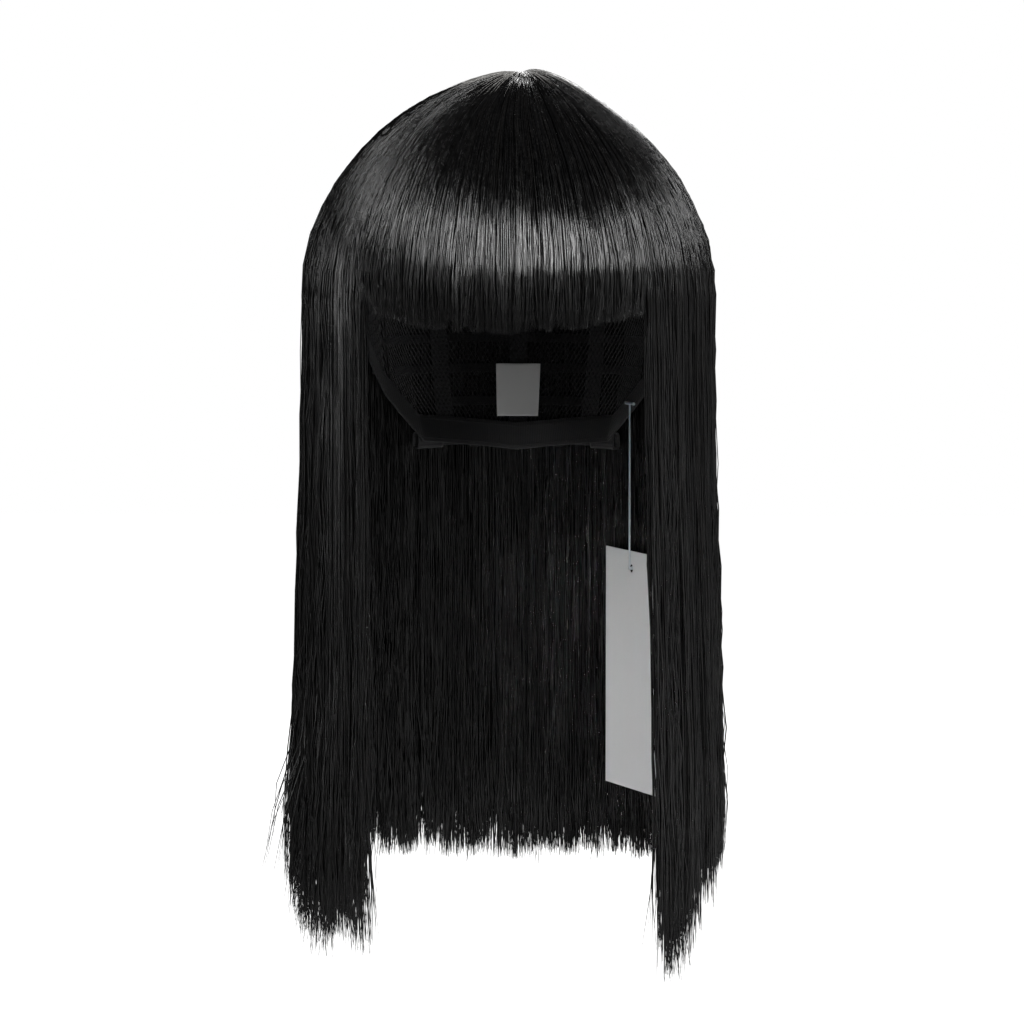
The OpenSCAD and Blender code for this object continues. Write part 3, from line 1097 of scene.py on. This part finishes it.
@dataclass
class EarTab:
    """A felt tongue in front of the ear, edge-stitched, with a flat metal stay in its pocket."""

    side: Side
    middle: float = 78.0
    rows: Table = ((-38, 2.4), (-35, 5), (-30, 7), (-22, 8.4), (-14, 9), (-7, 9))

    def _point(self, share: np.ndarray, z: np.ndarray, off: float) -> np.ndarray:
        """A point on the tab, share running from -1 to 1 across it."""
        turn = self.middle + share * looked_up(np.asarray(z) / MM, self.rows)
        return HEAD.at_height(turn, z, off) * np.array([self.side.value, 1, 1])

    def build(self, finishes: Finishes) -> None:
        """Makes the tongue and its stitches, and dresses the stay."""
        name = self.side.name.lower()

        def where(u: np.ndarray, v: np.ndarray) -> np.ndarray:
            """The tab's inner face."""
            return self._point((u * 2 - 1) * self.side.value, (-7 - 31 * v) * MM, 0.25 * MM)

        mesh = grid_mesh(f"{name}_ear_tab_felt", 14, 18, where, (0.03, 0.031), finishes["felt"], 1.0 * MM)
        piece = shown(mesh.name, mesh, f"{name}_ear_tab", "felt", f"{name}_ear_tab")
        rounded(piece, 0.35 * MM, 2)
        cut_from(piece, where, "hung", f"{name}_ear_band")
        dress(f"{name}_ear_stay", finishes["brushed stay"])
        stitches = Strands(f"{name}_ear_tab_stitches")
        down, up = np.linspace(-8.5, -35, 26), np.linspace(-35, -8.5, 26)
        z = np.concatenate([down, up]) * MM
        share = np.concatenate([np.full(26, 0.86), np.full(26, -0.86)])
        for off in (0.18, 1.3):
            lift = zigzag(52, 0.1, -0.08) * MM
            stitches.add(*thread(self._point(share, z, off * MM) + lift[:, None]))
        made = stitches.mesh([finishes["thread"]])
        shown(stitches.name, made, f"{name}_ear_tab", "felt")


def dress(node: str, material: bpy.types.Material) -> None:
    """Gives a CAD node that stays as it is a finish."""
    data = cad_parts[node].data
    data.materials.clear()
    data.materials.append(material)


@dataclass
class Adjuster:
    """One nape adjuster: an elastic in its sewn casing, and the tape of loops that its hook catches in."""

    side: Side
    middle: float = 28 * MM
    radius: float = 58 * MM
    height: float = -70 * MM
    loops: tuple[float, ...] = (1.5, 8.5)

    def _point(self, angle: np.ndarray, off: np.ndarray, up: np.ndarray) -> np.ndarray:
        """A point `angle` degrees round the nape from its middle, `off` out and `up` from the line of pull."""
        a, out = np.radians(angle), self.radius + np.asarray(off)
        x, y = out * np.sin(a) * self.side.value, self.middle + out * np.cos(a)
        return np.stack(np.broadcast_arrays(x, y, self.height + np.asarray(up)), -1)

    def _along(self, u: np.ndarray) -> np.ndarray:
        """A share turned about on the right side, which keeps the faces pointing out."""
        return 1 - u if self.side is Side.RIGHT else u

    def _strip(
        self, node: str, body: str, slot: str, angles: tuple[float, float], off: float, wide: float,
        thick: float, material: bpy.types.Material,
    ) -> None:
        """Makes a flat strip along the nape that stands for a node."""
        (a, b), length = angles, math.radians(angles[1] - angles[0]) * self.radius

        def where(u: np.ndarray, v: np.ndarray) -> np.ndarray:
            """The strip's inner face."""
            return self._point(a + (b - a) * self._along(u), off, wide * (0.5 - v))

        mesh = grid_mesh(f"{node}_woven", max(8, int(length / MM)), 6, where, (length, wide), material, thick)
        rounded(shown(mesh.name, mesh, body, slot, node), 0.2 * MM, 2)

    def _casing(self, name: str, finishes: Finishes) -> None:
        """Makes the flat tube that the elastic runs in."""

        def where(u: np.ndarray, v: np.ndarray) -> np.ndarray:
            """The tube's lining, u going round it and v along it."""
            c = 2 * np.pi * self._along(u)
            off, up = (np.sign(f) * np.sqrt(np.abs(f)) for f in (np.cos(c), np.sin(c)))
            return self._point(36 + 15 * v, (1.5 + 1.6 * off) * MM, 3.55 * up * MM)

        mesh = grid_mesh(f"{name}_tunnel", 48, 16, where, (0.02, 0.015), finishes["satin binding"], 0.42 * MM)
        shown(mesh.name, mesh, "cap", "binding", name)

    def _loops(self, name: str, finishes: Finishes) -> None:
        """Makes the loops that stand on the tape."""
        for k, at in enumerate(self.loops, 1):

            def where(u: np.ndarray, v: np.ndarray, at: float = at) -> np.ndarray:
                """The loop's inside, from one foot over to the other."""
                c = np.pi * v
                rise, up = np.abs(np.sin(c)) ** 0.4, np.sign(np.cos(c)) * np.abs(np.cos(c)) ** 0.4
                return self._point(at + self._along(u) - 0.5, (0.5 + 1.6 * rise) * MM, 3.15 * up * MM)

            mesh = grid_mesh(f"{name}_{k}", 3, 28, where, (MM, 0.01), finishes["strap elastic"], 0.5 * MM)
            shown(mesh.name, mesh, "cap", "elastic")

    def build(self, finishes: Finishes) -> None:
        """Makes the elastic, its casing, the loop tape and its loops, and dresses the hook."""
        name = self.side.name.lower()
        elastic = finishes["strap elastic"]
        self._strip(
            f"{name}_strap", f"{name}_adjuster", "elastic", (17, 49), 1.7 * MM, 6 * MM, 1.0 * MM, elastic
        )
        self._strip(f"{name}_loop_tape", "cap", "elastic", (0.5, 12.5), 0.0, 8 * MM, 0.8 * MM, elastic)
        self._loops(f"{name}_loop", finishes)
        self._casing(f"{name}_strap_casing", finishes)
        dress(f"{name}_hook", finishes["moulded hook"])


@dataclass
class Labels:
    """The blank label in the nape, and the blank swing tag on its nylon pin."""

    def build(self, finishes: Finishes) -> None:
        """Makes the label, whose folded ends are not drawn, and dresses the tag and pin."""

        def where(u: np.ndarray, v: np.ndarray) -> np.ndarray:
            """The label's outer face, bowed a little off the cap between its sewn ends."""
            bow = np.sin(np.pi * v) * 0.0009
            points = HEAD.at_height(172 + 16 * u, (-36 - 24 * v) * MM, -0.35 * MM)
            points[:, 1] -= bow
            return points

        mesh = grid_mesh("blank_label", 16, 20, where, (0.021, 0.024), finishes["label satin"], 0.25 * MM)
        piece = shown(mesh.name, mesh, "cap", "label", "care_label")
        rounded(piece, 0.08 * MM)
        cut_from(piece, where, "laid", "back_net")
        dress("swing_tag", finishes["white card"])
        dress("tag_fastener", finishes["clear nylon"])


@dataclass
class Cap:
    """The wefted cap, sewn together with black thread."""

    def build(self, finishes: Finishes) -> None:
        """Makes every part of the cap."""
        threads = Strands("cap_stitches")
        for node, turns, net in (
            ("front_band", (-58, 58), "front_net"), ("right_ear_band", (59, 118), "right_net"),
            ("nape_band", (119, 241), "back_net"), ("left_ear_band", (242, 301), "left_net"),
        ):
            Band(node, turns, net).build(finishes, threads)
        for node, turns, cells in (
            ("front_net", (-50, 50), (52, 16)), ("right_net", (51, 129), (46, 38)),
            ("left_net", (231, 309), (46, 38)), ("back_net", (130, 230), (60, 60)),
        ):
            Net(node, turns, cells).build(finishes)
        for k, turn in enumerate((102, 125, 152, 180, 208, 235, 258), 1):
            Rib(f"rib_{k}", turn).build(finishes, threads)
        starts = (
            (62, 62), (48, 64), (34, 66), (21, 68), (6, 118), (-9, 122), (-24, 126), (-38, 134), (-53, 150),
        )
        for k, (z, turn) in enumerate(starts, 1):
            Weft(f"back_weft_{k}", (turn, 360 - turn), z * MM).build(finishes, threads)
        for k, z in enumerate((67, 61, 55), 1):
            Weft(f"fringe_weft_{k}", (-44, 44), z * MM).build(finishes, threads)
        SkinPatch().build(finishes, threads)
        shown(threads.name, threads.mesh([finishes["thread"]]), "cap", "weft")
        for side in Side:
            EarTab(side).build(finishes)
            Adjuster(side).build(finishes)
        Labels().build(finishes)


# ---------------------------------------------------------------- the studio


@dataclass
class Studio:
    """A flat pale floor, soft boxes all round, one narrow light on the card, and the camera."""

    floor_z: float = -0.46
    lens: float = 173.4
    distance: float = 2.2
    pitch: float = 5.12
    azimuth: float = 2.4

    def build(self) -> None:
        """Makes the stage, the lights, the world and the camera."""
        self._floor()
        self._light("front", (0.62, -1.74, 1.21), (1.4, 1.22), 84)
        self._light("fill", (0.25, -2.35, 0.02), (2.0, 1.1), 3.6)
        self._light("right", (1.56, -0.95, 1.1), (0.6, 1.1), 50)
        self._light("right low", (1.9, -0.1, 0.1), (0.5, 1.1), 3)
        self._light("rear low", (-0.3, 2.1, 0.1), (1.2, 1.1), 4)
        self._light("left", (-1.55, -1.45, 0.42), (0.5, 0.9), 14)
        self._light("rear", (0.25, 1.95, 0.9), (1.0, 0.5), 14)
        card = self._light("card", (-0.3, -2.2, -0.1), (0.1, 0.14), 0.018, (0.05, 0.056, -0.175))
        card.spread = math.radians(3.5)
        self._world()
        self._camera()

    def _floor(self) -> None:
        """A flat square floor, white to the eye and mid grey to the light, drawn out from a line."""
        bm = bmesh.new()
        a, b = bm.verts.new((-4, -4, self.floor_z)), bm.verts.new((-4, 4, self.floor_z))
        bm.edges.new((a, b))
        made = bmesh.ops.extrude_edge_only(bm, edges=bm.edges[:])
        far = [g for g in made["geom"] if isinstance(g, bmesh.types.BMVert)]
        bmesh.ops.translate(bm, verts=far, vec=(8, 0, 0))
        bmesh.ops.recalc_face_normals(bm, faces=bm.faces[:])
        mesh = bpy.data.meshes.new("floor")
        bm.to_mesh(mesh)
        bm.free()
        n = Nodes("pale floor")
        n.feed("Base Color", n.mix(n.noise(n.coords(), 3), (0.3, 0.3, 0.3), (0.33, 0.33, 0.33)))
        n.feed("Roughness", 0.8)
        n.feed("Emission Color", (1.0, 1.0, 1.0))
        n.feed("Emission Strength", n.node("ShaderNodeLightPath", [], out="Is Camera Ray") * 0.96)
        mesh.materials.append(n.material)
        floor = bpy.data.objects.new("floor", mesh)
        bpy.context.scene.collection.objects.link(floor)

    def _light(
        self, name: str, place: Colour, size: tuple[float, float], power: float, at: Colour = (0, 0, -0.02)
    ) -> bpy.types.AreaLight:
        """Adds an area light.

        Args:
            name: its name.
            place: its middle.
            size: its width and height.
            power: its watts.
            at: the point that it is aimed at.

        Returns:
            The light.
        """
        data = bpy.data.lights.new(name, "AREA")
        data.shape, data.size, data.size_y, data.energy = "RECTANGLE", size[0], size[1], power
        lamp = bpy.data.objects.new(name, data)
        lamp.location = place
        lamp.rotation_euler = (Vector(at) - Vector(place)).to_track_quat("-Z", "Y").to_euler()
        bpy.context.scene.collection.objects.link(lamp)
        return data

    def _world(self) -> None:
        """A white room to the eye, and a dim one to what it lights."""
        world = bpy.data.worlds.new("studio")
        bpy.context.scene.world = world
        world.use_nodes = True
        tree = world.node_tree
        ground = tree.nodes["Background"]
        seen = tree.nodes.new("ShaderNodeLightPath")
        mix = tree.nodes.new("ShaderNodeMix")
        tree.links.new(seen.outputs["Is Camera Ray"], mix.inputs[0])
        mix.inputs[2].default_value, mix.inputs[3].default_value = 0.03, 1.0
        tree.links.new(mix.outputs[0], ground.inputs["Strength"])
        ground.inputs["Color"].default_value = (1, 1, 1, 1)

    def _camera(self) -> None:
        """The camera in front, at crown height and a little to the right, looking a little down."""
        data = bpy.data.cameras.new("camera")
        data.lens, data.sensor_width = self.lens, 36
        camera = bpy.data.objects.new("camera", data)
        turned = math.radians(self.azimuth)
        camera.location = (0.001 + self.distance * math.sin(turned), -self.distance * math.cos(turned), HAIR.up)
        camera.rotation_euler = (math.radians(90 - self.pitch), 0, turned)
        bpy.context.scene.collection.objects.link(camera)
        bpy.context.scene.camera = camera
        bpy.context.scene.view_settings.view_transform = "Standard"


def main() -> None:
    """Builds the wig on its frame, then the studio."""
    logging.basicConfig(level=logging.INFO, format="%(name)s %(message)s")
    finishes = Finishes()
    Studio().build()
    Cap().build(finishes)
    CrownHair().build(finishes)
    Whorl().build(finishes)
    Fringe().build(finishes)
    for section in (
        HangingSection(
            "right_front_lock", (45.5, 82), RIGHT_TIPS, seed=11, hem=(45, 3.5), inset=(6.0, 0.0),
            ragged=0.008, stagger=0.006, grooves=(44.5,),
        ),
        HangingSection("right_side_curtain", (82, 128), RIGHT_TIPS, seed=12),
        HangingSection("back_right_curtain", (128, 163), RIGHT_TIPS, seed=13),
        HangingSection("back_center_curtain", (163, 197), (*RIGHT_TIPS[:-1], *LEFT_TIPS[:2]), seed=14),
        HangingSection("back_left_curtain", (197, 232), LEFT_TIPS, seed=15),
        HangingSection("left_side_curtain", (232, 278), LEFT_TIPS, seed=16),
        HangingSection(
            "left_front_lock", (278, 314.5), LEFT_TIPS, seed=17, spread=0.5, hem=(315, 10.0), inset=(0.0, 6.0),
            ragged=0.009, stagger=0.007, grooves=(315.5,), wisps=26,
        ),
    ):
        section.build(finishes)
    for nape in (
        NapeHair("back_right_curtain", (129, 162.5), RIGHT_TIPS, seed=31),
        NapeHair("back_center_curtain", (163.5, 196.5), (*RIGHT_TIPS[:-1], *LEFT_TIPS[:2]), seed=32),
        NapeHair("back_left_curtain", (197.5, 231), LEFT_TIPS, seed=33),
    ):
        nape.build(finishes)


if __name__ == "__main__":
    main()
